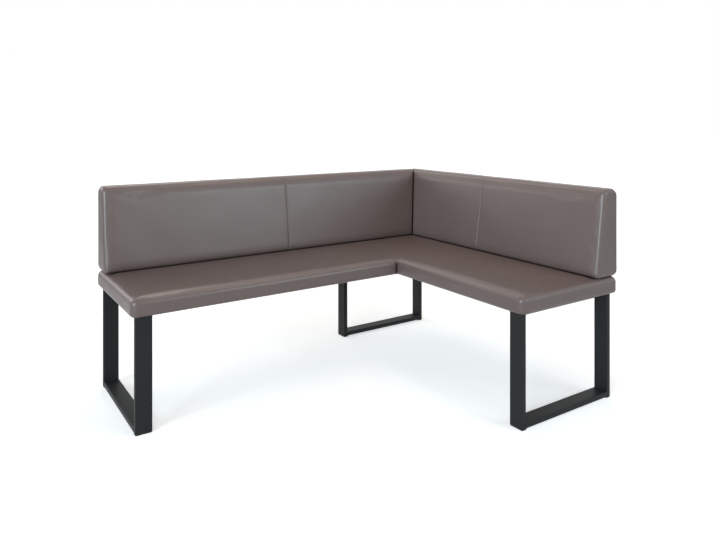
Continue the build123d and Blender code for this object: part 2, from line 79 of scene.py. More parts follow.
class Shop:
    """Modelling steps as they are done by hand: select, then use an operator."""

    @staticmethod
    def object_mode() -> None:
        """Leave edit mode and deselect everything."""
        active = bpy.context.view_layer.objects.active
        if active is not None and active.mode != "OBJECT":
            bpy.ops.object.mode_set(mode="OBJECT")
        bpy.ops.object.select_all(action="DESELECT")

    @staticmethod
    def take(piece: bpy.types.Object) -> None:
        """Make one piece the only selected and the active object.

        Args:
            piece: The object to take.
        """
        Shop.object_mode()
        piece.select_set(True)
        bpy.context.view_layer.objects.active = piece

    @staticmethod
    def edit(piece: bpy.types.Object) -> None:
        """Open one piece in edit mode with all of it selected.

        Args:
            piece: The object to open.
        """
        Shop.take(piece)
        bpy.ops.object.mode_set(mode="EDIT")
        bpy.ops.mesh.select_mode(type="FACE")
        bpy.ops.mesh.select_all(action="SELECT")

    @staticmethod
    def block(name: str, low: Sequence[float], high: Sequence[float]) -> bpy.types.Object:
        """Add a block between two corners, with its place in its mesh.

        Args:
            name: Name of the new object.
            low: Lowest corner in metres.
            high: Highest corner in metres.

        Returns:
            The new object, at the origin.
        """
        low, high = Vector(low), Vector(high)
        Shop.object_mode()
        bpy.ops.mesh.primitive_cube_add(size=1.0, location=(low + high) / 2)
        piece = bpy.context.active_object
        piece.name = piece.data.name = name
        piece.scale = high - low
        bpy.ops.object.transform_apply(location=True, rotation=True, scale=True)
        return piece

    @staticmethod
    def copy(piece: bpy.types.Object, name: str) -> bpy.types.Object:
        """Duplicate a piece with its own mesh.

        Args:
            piece: The object to copy.
            name: Name of the copy.

        Returns:
            The copy.
        """
        Shop.take(piece)
        bpy.ops.object.duplicate(linked=False)
        made = bpy.context.active_object
        made.name = made.data.name = name
        return made

    @staticmethod
    def pick_edges(piece: bpy.types.Object, test: Test) -> None:
        """Select the edges in edit mode whose two ends pass a test.

        Args:
            piece: The object in edit mode.
            test: Takes the two end points.
        """
        bpy.ops.mesh.select_mode(type="EDGE")
        bpy.ops.mesh.select_all(action="DESELECT")
        mesh = bmesh.from_edit_mesh(piece.data)
        for edge in mesh.edges:
            if test(edge.verts[0].co, edge.verts[1].co):
                edge.select_set(True)
        mesh.select_flush_mode()
        bmesh.update_edit_mesh(piece.data)

    @staticmethod
    def pick_faces(piece: bpy.types.Object, test: Test) -> None:
        """Select the faces in edit mode whose middle and normal pass a test.

        Args:
            piece: The object in edit mode.
            test: Takes a face's middle and its normal.
        """
        bpy.ops.mesh.select_mode(type="FACE")
        bpy.ops.mesh.select_all(action="DESELECT")
        mesh = bmesh.from_edit_mesh(piece.data)
        mesh.normal_update()
        for face in mesh.faces:
            if test(face.calc_center_median(), face.normal):
                face.select_set(True)
        mesh.select_flush_mode()
        bmesh.update_edit_mesh(piece.data)

    @staticmethod
    def round_edges(radius: float, segments: int) -> None:
        """Round the selected edges.

        Args:
            radius: The round's radius in metres.
            segments: How many strips make up the round.
        """
        bpy.ops.mesh.bevel(
            offset=radius, offset_type="OFFSET", segments=segments, profile=0.5, affect="EDGES"
        )

    @staticmethod
    def cut(point: Sequence[float], normal: Sequence[float], drop: bool = False) -> None:
        """Bisect what is selected.

        Args:
            point: A point of the cutting plane.
            normal: The plane's normal.
            drop: True drops what lies on the normal's side and closes the cut with even triangles.
        """
        bpy.ops.mesh.bisect(
            plane_co=point, plane_no=normal, use_fill=drop, clear_outer=drop, threshold=TOUCH
        )
        if drop:
            bpy.ops.mesh.quads_convert_to_tris(quad_method="BEAUTY", ngon_method="BEAUTY")

    @staticmethod
    def cut_all(point: Sequence[float], normal: Sequence[float], drop: bool = False) -> None:
        """Bisect the whole mesh in edit mode, with the arguments of cut."""
        bpy.ops.mesh.select_all(action="SELECT")
        Shop.cut(point, normal, drop)

    @staticmethod
    def cut_grid(axis: Vector, places: Iterable[float]) -> None:
        """Bisect the whole mesh square to an axis at each place."""
        for place in places:
            Shop.cut_all(axis * place, axis)

    @staticmethod
    def settle() -> None:
        """Turn the mesh's faces outwards, put its elements in one fixed order and leave edit mode.

        A simulation repeats exactly only on a mesh whose vertices, edges and faces keep their order.
        """
        bpy.ops.mesh.select_all(action="SELECT")
        bpy.ops.mesh.normals_make_consistent(inside=False)
        bpy.context.scene.cursor.location = SORTING_POINT
        bpy.ops.mesh.sort_elements(type="CURSOR_DISTANCE", elements={"VERT", "EDGE", "FACE"})
        Shop.object_mode()

    @staticmethod
    def apply(piece: bpy.types.Object, modifier: bpy.types.Modifier) -> None:
        """Apply one modifier of a piece."""
        Shop.take(piece)
        bpy.ops.object.modifier_apply(modifier=modifier.name)

    @staticmethod
    def points(piece: bpy.types.Object) -> np.ndarray:
        """Read all vertices of a piece.

        Args:
            piece: The object to read.

        Returns:
            One row of coordinates per vertex.
        """
        rows = np.empty(len(piece.data.vertices) * 3)
        piece.data.vertices.foreach_get("co", rows)
        return rows.reshape(-1, 3)

    @staticmethod
    def normals(piece: bpy.types.Object) -> np.ndarray:
        """Read all vertex normals of a piece.

        Args:
            piece: The object to read.

        Returns:
            One unit row per vertex.
        """
        rows = np.empty(len(piece.data.vertices) * 3)
        piece.data.vertex_normals.foreach_get("vector", rows)
        return rows.reshape(-1, 3)

    @staticmethod
    def move_points(piece: bpy.types.Object, rows: np.ndarray) -> None:
        """Put every vertex of a piece at its row."""
        piece.data.vertices.foreach_set("co", rows.ravel())
        piece.data.update()

    @staticmethod
    def sink(piece: bpy.types.Object, depth: np.ndarray) -> None:
        """Move every vertex of a piece inwards along its normal, each by its own depth."""
        Shop.move_points(piece, Shop.points(piece) - Shop.normals(piece) * depth[:, None])

    @staticmethod
    def group(piece: bpy.types.Object, name: str, weights: np.ndarray) -> str:
        """Store one weight per vertex in a vertex group.

        Args:
            piece: The object that gets the group.
            name: The group's name.
            weights: One value from 0 to 1 per vertex.

        Returns:
            The group's name.
        """
        made = piece.vertex_groups.new(name=name)
        rounded = np.round(weights, 2)
        for step in np.unique(rounded):
            if step > 0:
                made.add(np.nonzero(rounded == step)[0].tolist(), float(step), "REPLACE")
        return name

    @staticmethod
    def mark(piece: bpy.types.Object, name: str, values: np.ndarray) -> None:
        """Store one value per vertex as an attribute of the mesh."""
        made = piece.data.attributes.new(name, "FLOAT", "POINT")
        made.data.foreach_set("value", values.astype(np.float32))

    @staticmethod
    def finish(piece: bpy.types.Object, sharp: float = 38.0) -> None:
        """Shade a piece smooth and drop its working groups.

        Args:
            piece: The finished object.
            sharp: Edges that turn by more degrees than this stay sharp.
        """
        piece.vertex_groups.clear()
        Shop.take(piece)
        bpy.ops.object.shade_smooth_by_angle(angle=math.radians(sharp))


def stations(first: float, last: float, step: float) -> list[float]:
    """Evenly spaced places strictly between two ends.

    Args:
        first: One end.
        last: The other end.
        step: The widest spacing.

    Returns:
        The places, without the two ends.
    """
    count = max(1, math.ceil((last - first) / step))
    return [first + (last - first) * i / count for i in range(1, count)]


def ramp(values: np.ndarray, start: float, end: float) -> np.ndarray:
    """Smooth step from 0 at start to 1 at end."""
    share = np.clip((values - start) / (end - start), 0.0, 1.0)
    return share * share * (3.0 - 2.0 * share)


# Finishes

class Nodes:
    """Small wrapper that adds and links shader nodes in one tree."""

    def __init__(self, tree: bpy.types.NodeTree) -> None:
        """Start with an empty tree."""
        self.tree = tree
        tree.nodes.clear()

    def add(self, kind: str, inputs: dict | None = None, **settings: object) -> bpy.types.Node:
        """Add a node.

        Args:
            kind: The node's type without its ShaderNode prefix.
            inputs: Values or sockets by input name or index.
            settings: Properties of the node.

        Returns:
            The node.
        """
        prefix = "" if kind.startswith("Node") else "ShaderNode"
        node = self.tree.nodes.new(prefix + kind)
        for key, value in settings.items():
            setattr(node, key, value)
        for key, value in (inputs or {}).items():
            if isinstance(value, bpy.types.NodeSocket):
                self.tree.links.new(value, node.inputs[key])
            else:
                node.inputs[key].default_value = value
        return node

    def math(self, operation: str, a: object, b: object = 0.0, c: object = 0.0) -> bpy.types.NodeSocket:
        """Combine values and return the result's socket."""
        return self.add("Math", {0: a, 1: b, 2: c}, operation=operation).outputs[0]

    def remap(self, value: object, low: float, high: float) -> bpy.types.NodeSocket:
        """Stretch a 0 to 1 value to a range and return its socket."""
        return self.math("MULTIPLY_ADD", value, high - low, low)

    def blend(self, share: object, first: object, second: object) -> bpy.types.NodeSocket:
        """Mix two colours by a share and return the colour's socket."""
        return self.add("Mix", {"Factor": share, 6: first, 7: second}, data_type="RGBA").outputs[2]

    def group(self, tree: bpy.types.NodeTree, **inputs: object) -> bpy.types.Node:
        """Place an effect with its own values and return its node."""
        values = {key.replace("_", " ").title(): value for key, value in inputs.items()}
        return self.add("Group", values, node_tree=tree)


class Effect(Enum):
    """Effects that several finishes share, each built once as a node group."""

    PEBBLE_GRAIN = "pebble_grain"
    MOTTLE = "soft_mottle"
    SPECKLE = "fine_speckle"
    WOOD_FIGURE = "wood_figure"

    def tree(self) -> bpy.types.NodeTree:
        """Build the effect when it is first asked for.

        Returns:
            The effect's node group.
        """
        made = bpy.data.node_groups.get(self.value)
        if made is None:
            made = bpy.data.node_groups.new(self.value, "ShaderNodeTree")
            EFFECT_MAKERS[self](made)
        return made


def effect_start(
    tree: bpy.types.NodeTree, inputs: dict[str, float], outputs: Sequence[str]
) -> tuple[Nodes, bpy.types.bpy_prop_collection]:
    """Give an effect its named sockets.

    Args:
        tree: The effect's node group.
        inputs: Values by name; a Vector socket always comes first.
        outputs: Names of the values that it puts out.

    Returns:
        The tree's wrapper and the sockets of its inputs.
    """
    tree.interface.new_socket("Vector", in_out="INPUT", socket_type="NodeSocketVector")
    for name, value in inputs.items():
        socket = tree.interface.new_socket(name, in_out="INPUT", socket_type="NodeSocketFloat")
        socket.default_value = value
    for name in outputs:
        tree.interface.new_socket(name, in_out="OUTPUT", socket_type="NodeSocketFloat")
    nodes = Nodes(tree)
    return nodes, nodes.add("NodeGroupInput").outputs


def make_pebble_grain(tree: bpy.types.NodeTree) -> None:
    """Embossed leather grain: small uneven cells with fine creases between them.

    Args:
        tree: The effect's node group.
    """
    nodes, source = effect_start(tree, {"Scale": 700.0, "Warp": 0.25}, ["Height", "Crease"])
    vector, scale = source["Vector"], source["Scale"]
    coarse = nodes.math("MULTIPLY", scale, 0.35)
    fine = nodes.math("MULTIPLY", scale, 3.0)
    drift = nodes.add("TexNoise", {"Vector": vector, "Scale": coarse, "Detail": 2.0})
    offset = nodes.add("VectorMath", {0: drift.outputs["Color"], 1: (0.5, 0.5, 0.5)}, operation="SUBTRACT")
    reach = nodes.math("DIVIDE", source["Warp"], coarse)
    bend = nodes.add("VectorMath", {0: offset.outputs[0], "Scale": reach}, operation="SCALE")
    moved = nodes.add("VectorMath", {0: vector, 1: bend.outputs[0]}, operation="ADD")
    cells = nodes.add(
        "TexVoronoi", {"Vector": moved.outputs[0], "Scale": scale, "Randomness": 0.9},
        feature="DISTANCE_TO_EDGE",
    ).outputs["Distance"]
    dome = nodes.math("SMOOTH_MIN", nodes.math("MULTIPLY", cells, 2.6), 0.8, 0.3)
    pores = nodes.add("TexNoise", {"Vector": vector, "Scale": fine, "Detail": 2.0})
    height = nodes.math("MULTIPLY_ADD", pores.outputs["Fac"], 0.16, dome)
    crease = nodes.math("SUBTRACT", 1.0, nodes.math("MULTIPLY", cells, 6.0))
    nodes.add("NodeGroupOutput", {"Height": height, "Crease": nodes.math("MAXIMUM", crease, 0.0)})


def make_mottle(tree: bpy.types.NodeTree) -> None:
    """Slow unevenness of tone over a surface.

    Args:
        tree: The effect's node group.
    """
    nodes, source = effect_start(tree, {"Scale": 6.0, "Contrast": 1.6}, ["Mask"])
    cloud = nodes.add(
        "TexNoise", {"Vector": source["Vector"], "Scale": source["Scale"], "Detail": 5.0, "Roughness": 0.55}
    )
    centred = nodes.math("SUBTRACT", cloud.outputs["Fac"], 0.5)
    spread = nodes.math("MULTIPLY_ADD", centred, source["Contrast"], 0.5)
    nodes.add("NodeGroupOutput", {"Mask": nodes.math("MINIMUM", nodes.math("MAXIMUM", spread, 0.0), 1.0)})


def make_speckle(tree: bpy.types.NodeTree) -> None:
    """Fine sandy or orange-peel texture of a baked or moulded skin.

    Args:
        tree: The effect's node group.
    """
    nodes, source = effect_start(tree, {"Scale": 900.0, "Peel": 0.5}, ["Height", "Mask"])
    vector, scale, share = source["Vector"], source["Scale"], source["Peel"]
    sand = nodes.add("TexNoise", {"Vector": vector, "Scale": scale, "Detail": 3.0, "Roughness": 0.6})
    coarse = nodes.math("MULTIPLY", scale, 0.4)
    peel = nodes.add("TexVoronoi", {"Vector": vector, "Scale": coarse}, feature="SMOOTH_F1")
    grit = nodes.math("MULTIPLY", sand.outputs["Fac"], nodes.math("SUBTRACT", 1.0, share))
    height = nodes.math("MULTIPLY_ADD", peel.outputs["Distance"], share, grit)
    nodes.add("NodeGroupOutput", {"Height": height, "Mask": sand.outputs["Fac"]})


def make_wood_figure(tree: bpy.types.NodeTree) -> None:
    """Grain lines of sawn timber, with pores along them.

    Args:
        tree: The effect's node group.
    """
    nodes, source = effect_start(tree, {"Scale": 40.0, "Waver": 3.0}, ["Figure", "Pores"])
    vector, scale = source["Vector"], source["Scale"]
    lines = {"Vector": vector, "Scale": scale, "Distortion": source["Waver"]}
    detail = {"Detail": 3.0, "Detail Scale": 0.6}
    rings = nodes.add("TexWave", {**lines, **detail}, wave_type="BANDS", bands_direction="Y")
    fine = nodes.math("MULTIPLY", scale, 9.0)
    pores = nodes.add("TexNoise", {"Vector": vector, "Scale": fine, "Detail": 4.0})
    nodes.add("NodeGroupOutput", {"Figure": rings.outputs["Fac"], "Pores": pores.outputs["Fac"]})


EFFECT_MAKERS: dict[Effect, Callable[[bpy.types.NodeTree], None]] = {
    Effect.PEBBLE_GRAIN: make_pebble_grain,
    Effect.MOTTLE: make_mottle,
    Effect.SPECKLE: make_speckle,
    Effect.WOOD_FIGURE: make_wood_figure,
}


def rgb(*screen: float) -> Colour:
    """Turn a screen colour into the shader's linear values.

    Args:
        screen: Red, green and blue from 0 to 255.

    Returns:
        The linear colour, with full alpha.
    """
    parts = [value / 255.0 for value in screen]
    linear = [part / 12.92 if part <= 0.04045 else ((part + 0.055) / 1.055) ** 2.4 for part in parts]
    return (*linear, 1.0)


@dataclass
class Surface:
    """A material in the making: its nodes, its shader and the place on the piece."""

    nodes: Nodes
    shader: bpy.types.Node
    place: bpy.types.NodeSocket

    def effect(self, effect: Effect, **inputs: object) -> bpy.types.bpy_prop_collection:
        """Lay an effect over the surface and return its outputs."""
        return self.nodes.group(effect.tree(), **{"vector": self.place, **inputs}).outputs

    def feed(self, colour: bpy.types.NodeSocket, roughness: bpy.types.NodeSocket) -> None:
        """Link the colour and the roughness to the shader."""
        self.nodes.tree.links.new(colour, self.shader.inputs["Base Color"])
        self.nodes.tree.links.new(roughness, self.shader.inputs["Roughness"])

    def bump(self, height: bpy.types.NodeSocket, strength: float, depth: float) -> None:
        """Give the shader a bump of some depth in metres."""
        node = self.nodes.add("Bump", {"Strength": strength, "Distance": depth, "Height": height})
        self.nodes.tree.links.new(node.outputs["Normal"], self.shader.inputs["Normal"])


@dataclass(frozen=True)
class Finish:
    """What every finish has: the record's slot that it dresses and a way to make its material."""

    slot: str

    def material(self) -> bpy.types.Material:
        """Make the finish's material when it is first asked for.

        Returns:
            The material.
        """
        name = self.slot + "_finish"
        made = bpy.data.materials.get(name)
        if made is None:
            made = bpy.data.materials.new(name)
            made.use_nodes = True
            nodes = Nodes(made.node_tree)
            shader = nodes.add("BsdfPrincipled")
            nodes.add("OutputMaterial", {"Surface": shader.outputs["BSDF"]})
            self.paint(Surface(nodes, shader, nodes.add("TexCoord").outputs["Object"]))
        return made

    def paint(self, on: Surface) -> None:
        """Feed the shader of a material in the making."""
        raise NotImplementedError


@dataclass(frozen=True)
class FauxLeather(Finish):
    """Coated upholstery with an embossed pebble grain."""

    deep: Colour = rgb(97, 81, 78)
    full: Colour = rgb(111, 95, 92)
    crease: Colour = rgb(76, 62, 60)
    # Painted shade: the colour laid into the folds between seats and backrests and into the seats' inner
    # corner
    painted_fold_shade: Colour = rgb(48, 38, 36)
    grain: float = 620.0
    gloss: float = 0.48

    def paint(self, on: Surface) -> None:
        """Brown-taupe tones, darker in the grain's creases, with painted shade darkest in the pads' folds,
        satin gloss.

        Args:
            on: The material in the making.
        """
        nodes = on.nodes
        grain = on.effect(Effect.PEBBLE_GRAIN, scale=self.grain, warp=0.3)
        tone = on.effect(Effect.MOTTLE, scale=5.0, contrast=1.5)["Mask"]
        handling = on.effect(Effect.MOTTLE, scale=38.0, contrast=1.2)["Mask"]
        base = nodes.blend(nodes.remap(tone, 0.15, 0.85), self.deep, self.full)
        grained = nodes.blend(nodes.math("MULTIPLY", grain["Crease"], 0.35), base, self.crease)
        # Painted shade: the pads' fold attribute darkens the leather towards the painted fold shade
        fold = nodes.add("Attribute", attribute_name=FOLD_SHADE).outputs["Fac"]
        rough = nodes.math("MULTIPLY_ADD", grain["Crease"], 0.12, nodes.remap(handling, 0.26, 0.35))
        on.feed(nodes.blend(fold, grained, self.painted_fold_shade), rough)
        on.shader.inputs["Specular IOR Level"].default_value = self.gloss
        on.bump(grain["Height"], strength=0.28, depth=0.12 * MM)


@dataclass(frozen=True)
class PowderCoat(Finish):
    """Baked black coating on steel, with a fine sandy skin."""

    low: Colour = rgb(30, 30, 31)
    high: Colour = rgb(42, 42, 43)
    gloss: float = 0.15

    def paint(self, on: Surface) -> None:
        """Near-black with a slow change of tone and a matt sheen.

        Args:
            on: The material in the making.
        """
        nodes = on.nodes
        skin = on.effect(Effect.SPECKLE, scale=1100.0, peel=0.45)
        tone = on.effect(Effect.MOTTLE, scale=9.0, contrast=1.4)["Mask"]
        fleck = nodes.math("MULTIPLY_ADD", skin["Mask"], 0.5, nodes.math("MULTIPLY", tone, 0.5))
        on.feed(nodes.blend(fleck, self.low, self.high), nodes.remap(tone, 0.44, 0.56))
        on.shader.inputs["Specular IOR Level"].default_value = self.gloss
        on.bump(skin["Height"], strength=0.3, depth=0.06 * MM)


@dataclass(frozen=True)
class ZincSteel(Finish):
    """Bright zinc plating on screws, bolts and nuts."""

    bright: Colour = rgb(196, 198, 200)
    dull: Colour = rgb(158, 160, 160)

    def paint(self, on: Surface) -> None:
        """Metal with slightly cloudy plating.

        Args:
            on: The material in the making.
        """
        cloud = on.effect(Effect.MOTTLE, scale=160.0, contrast=1.8)["Mask"]
        skin = on.effect(Effect.SPECKLE, scale=2600.0, peel=0.2)
        on.feed(on.nodes.blend(cloud, self.dull, self.bright), on.nodes.remap(cloud, 0.26, 0.42))
        on.shader.inputs["Metallic"].default_value = 1.0
        on.bump(skin["Height"], strength=0.15, depth=0.02 * MM)


@dataclass(frozen=True)
class MouldedPlastic(Finish):
    """Black moulded glides with a spark-eroded texture."""

    low: Colour = rgb(20, 20, 21)
    high: Colour = rgb(34, 34, 35)

    def paint(self, on: Surface) -> None:
        """Matt black with fine texture.

        Args:
            on: The material in the making.
        """
        skin = on.effect(Effect.SPECKLE, scale=1500.0, peel=0.3)
        on.feed(on.nodes.blend(skin["Mask"], self.low, self.high), on.nodes.remap(skin["Mask"], 0.5, 0.68))
        on.bump(skin["Height"], strength=0.3, depth=0.05 * MM)


@dataclass(frozen=True)
class LiningCloth(Finish):
    """Black non-woven dust lining with its point-bonded web."""

    low: Colour = rgb(20, 20, 21)
    high: Colour = rgb(44, 44, 46)

    def paint(self, on: Surface) -> None:
        """Fibrous and dull.

        Args:
            on: The material in the making.
        """
        nodes = on.nodes
        web = on.effect(Effect.PEBBLE_GRAIN, scale=420.0, warp=0.6)
        fibre = on.effect(Effect.SPECKLE, scale=1700.0, peel=0.0)["Mask"]
        share = nodes.math("MULTIPLY", fibre, nodes.remap(web["Crease"], 1.0, 0.3))
        on.feed(nodes.blend(share, self.low, self.high), nodes.remap(fibre, 0.8, 0.98))
        on.bump(web["Height"], strength=0.5, depth=0.1 * MM)


@dataclass(frozen=True)
class Timber(Finish):
    """Sawn or sheet timber inside the upholstery."""

    light: Colour = rgb(214, 184, 142)
    dark: Colour = rgb(178, 142, 98)
    figure: float = 26.0
    stretch: Triple = (0.12, 1.0, 1.0)

    def paint(self, on: Surface) -> None:
        """Grain along the timber, with open pores.

        Args:
            on: The material in the making.
        """
        nodes = on.nodes
        along = nodes.add("Mapping", {"Vector": on.place, "Scale": self.stretch}).outputs["Vector"]
        grain = on.effect(Effect.WOOD_FIGURE, vector=along, scale=self.figure, waver=3.5)
        lines = nodes.math("MULTIPLY", grain["Figure"], 0.65)
        share = nodes.math("MULTIPLY_ADD", grain["Pores"], 0.35, lines)
        on.feed(nodes.blend(share, self.light, self.dark), nodes.remap(grain["Pores"], 0.55, 0.75))
        on.bump(grain["Pores"], strength=0.25, depth=0.1 * MM)


LEATHER = FauxLeather("taupe_faux_leather")
COATING = PowderCoat("black_powder_coat")
ZINC = ZincSteel("zinc_steel")
PLASTIC = MouldedPlastic("black_plastic")
LINING = LiningCloth("black_lining")
PLYWOOD = Timber("plywood", rgb(206, 176, 134), rgb(176, 142, 100), 18.0)
HARDBOARD = Timber("hardboard", rgb(124, 92, 64), rgb(96, 68, 46), 60.0, (1.0, 1.0, 1.0))
PINE = Timber("pine")


# Layout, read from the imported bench

@dataclass(frozen=True)
class Arm:
    """Axes of one arm: along it from its free end, back to its rear plane, and up."""

    origin: Vector
    along: Vector
    back: Vector
    length: float

    def point(self, a: float, b: float, z: float) -> Vector:
        """The place that lies a along the arm, b behind its rear plane and z above the floor."""
        return self.origin + self.along * a + self.back * b + UP * z

    def read(self, place: Vector) -> Triple:
        """The inverse of point."""
        offset = place - self.origin
        return offset.dot(self.along), offset.dot(self.back), place.z

    def read_rows(self, rows: np.ndarray) -> tuple[np.ndarray, np.ndarray, np.ndarray]:
        """The inverse of point for an array of rows."""
        offset = rows - np.array(self.origin)
        return offset @ np.array(self.along), offset @ np.array(self.back), rows[:, 2]


@dataclass(frozen=True)
class Layout:
    """Main planes of the bench in metres."""

    left: float
    right: float
    front: float
    rear: float
    inner_x: float
    inner_y: float
    long_butt: float
    short_butt: float
    underside: float
    seat_top: float
    head: float

    @classmethod
    def read(cls, inner_corner: float) -> "Layout":
        """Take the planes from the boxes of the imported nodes.

        Args:
            inner_corner: How far the short seat reaches past the inner corner.

        Returns:
            The layout.
        """
        long_low, long_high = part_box("long_seat_cover")
        short_low, short_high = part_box("short_seat_cover")
        back_low, back_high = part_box("long_back_cover")
        return cls(
            left=long_low[0], right=short_high[0], front=short_low[1], rear=long_high[1],
            inner_x=short_low[0] + inner_corner, inner_y=long_low[1],
            long_butt=long_high[0], short_butt=short_low[0],
            underside=long_low[2], seat_top=back_low[2], head=back_high[2],
        )

    def long_arm(self) -> Arm:
        """The arm along X at the rear."""
        return Arm(Vector((self.left, self.rear, 0)), X_AXIS, Y_AXIS, self.right - self.left)

    def short_arm(self) -> Arm:
        """The arm along Y at the right."""
        return Arm(Vector((self.right, self.front, 0)), Y_AXIS, X_AXIS, self.rear - self.front)


# Padding

@dataclass(frozen=True)
class Inflation:
    """A short cloth simulation in which the cover swells over its padding."""

    pressure: float = 4.0
    tension: float = 40.0
    bending: float = 4.0
    mass: float = 0.3
    quality: int = 5
    frames: int = 20
    side_cap: float = 2.0 * MM
    rise_cap: float = 5.0 * MM

    def run(self, piece: bpy.types.Object, held: np.ndarray, rise: Vector) -> None:
        """Swell a piece, with every point's movement capped.

        Args:
            piece: The padded piece.
            held: One weight per vertex, 1 where the cover is stapled or pressed down.
            rise: The direction in which the larger cap holds. Nothing moves inwards.
        """
        start, outward = Shop.points(piece), Shop.normals(piece)
        cloth = piece.modifiers.new("swell", "CLOTH")
        settings = cloth.settings
        settings.quality = self.quality
        settings.mass = self.mass
        settings.tension_stiffness = settings.compression_stiffness = self.tension
        settings.shear_stiffness = self.tension
        settings.bending_stiffness = self.bending
        settings.use_pressure = True
        settings.uniform_pressure_force = self.pressure
        settings.effector_weights.gravity = 0.0
        settings.vertex_group_mass = Shop.group(piece, "held", held)
        cloth.collision_settings.use_collision = False
        cloth.point_cache.frame_start, cloth.point_cache.frame_end = 1, self.frames
        scene = bpy.context.scene
        for number in range(1, self.frames + 1):
            scene.frame_set(number)
        Shop.apply(piece, cloth)
        scene.frame_set(1)
        swollen = np.maximum(0.0, np.sum((Shop.points(piece) - start) * outward, axis=1))
        facing = np.clip(outward @ np.array(rise), 0.0, 1.0)
        cap = self.side_cap + (self.rise_cap - self.side_cap) * facing
        Shop.move_points(piece, start + outward * (cap * np.tanh(swollen / cap))[:, None])


@dataclass(frozen=True)
class Padding:
    """Steps that both seats and backs go through."""

    swell: Inflation = Inflation()
    unevenness: float = 1.2 * MM
    unevenness_size: float = 0.22

    def soften(self, piece: bpy.types.Object, free: Callable[[np.ndarray], np.ndarray], rise: Vector) -> None:
        """Swell the padding, refine its mesh and give it the unevenness of foam under a tight cover.

        Args:
            piece: The padded piece.
            free: Takes rows of points and gives how free the cover is at each, from 0 to 1.
            rise: The direction in which the padding rises most.
        """
        self.swell.run(piece, 1.0 - free(Shop.points(piece)), rise)
        smooth = piece.modifiers.new("refine", "SUBSURF")
        smooth.levels = smooth.render_levels = 1
        Shop.apply(piece, smooth)
        texture = bpy.data.textures.get("foam_unevenness")
        if texture is None:
            texture = bpy.data.textures.new("foam_unevenness", "CLOUDS")
            texture.noise_scale = self.unevenness_size
            texture.noise_depth = 1
        piece.vertex_groups.clear()
        wave = piece.modifiers.new("unevenness", "DISPLACE")
        wave.texture = texture
        wave.texture_coords = "LOCAL"
        wave.strength = 2.0 * self.unevenness
        wave.mid_level = 0.5
        wave.vertex_group = Shop.group(piece, "soft", free(Shop.points(piece)))
        Shop.apply(piece, wave)

    @staticmethod
    def roll_in(
        piece: bpy.types.Object, distance: np.ndarray, width: float, depth: float, where: np.ndarray
    ) -> None:
        """Round a cover into a seam or joint.

        Args:
            piece: The padded piece.
            distance: Each vertex's distance from the seam in metres.
            width: How far beside the seam the cover bends down.
            depth: How deep it goes at the seam.
            where: One value per vertex, 0 where nothing may move.
        """
        share = np.clip(1.0 - np.abs(distance) / width, 0.0, 1.0)
        Shop.sink(piece, depth * (1.0 - np.sqrt(np.maximum(0.0, 1.0 - share * share))) * where)

    @staticmethod
    def let_in(
        piece: bpy.types.Object, flat: Test, planes: Iterable[Plane],
        inside: Callable[[Vector], bool], push: Vector,
    ) -> None:
        """Let a lining into a flat side, inside a hem of the cover.

        Args:
            piece: The padded piece.
            flat: Tells by a face's middle and normal whether it lies on that side.
            planes: A point and a normal of each plane along the hem.
            inside: Tells by a face's middle whether it lies inside the hem.
            push: How far, and which way, the lining is let in.
        """
        Shop.edit(piece)
        for point, normal in planes:
            Shop.pick_faces(piece, flat)
            Shop.cut(point, normal)
        Shop.pick_faces(piece, lambda middle, way: flat(middle, way) and inside(middle))
        bpy.ops.mesh.extrude_region_move(TRANSFORM_OT_translate={"value": push})
        Shop.object_mode()

    @staticmethod
    def declare(piece: bpy.types.Object, folds: np.ndarray, fill: float, nodes: Sequence[str]) -> None:
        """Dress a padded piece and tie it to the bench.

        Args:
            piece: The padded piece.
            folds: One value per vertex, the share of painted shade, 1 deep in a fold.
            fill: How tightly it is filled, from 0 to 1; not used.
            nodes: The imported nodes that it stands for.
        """
        # Stores where painted shade darkens the leather
        Shop.mark(piece, FOLD_SHADE, folds)
        Shop.finish(piece)
        piece.data.materials.clear()
        piece.data.materials.append(LEATHER.material())
        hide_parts(*nodes)
        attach(piece, BODY)
        log.info("%s: %d faces, stands for %s", piece.name, len(piece.data.polygons), ", ".join(nodes))


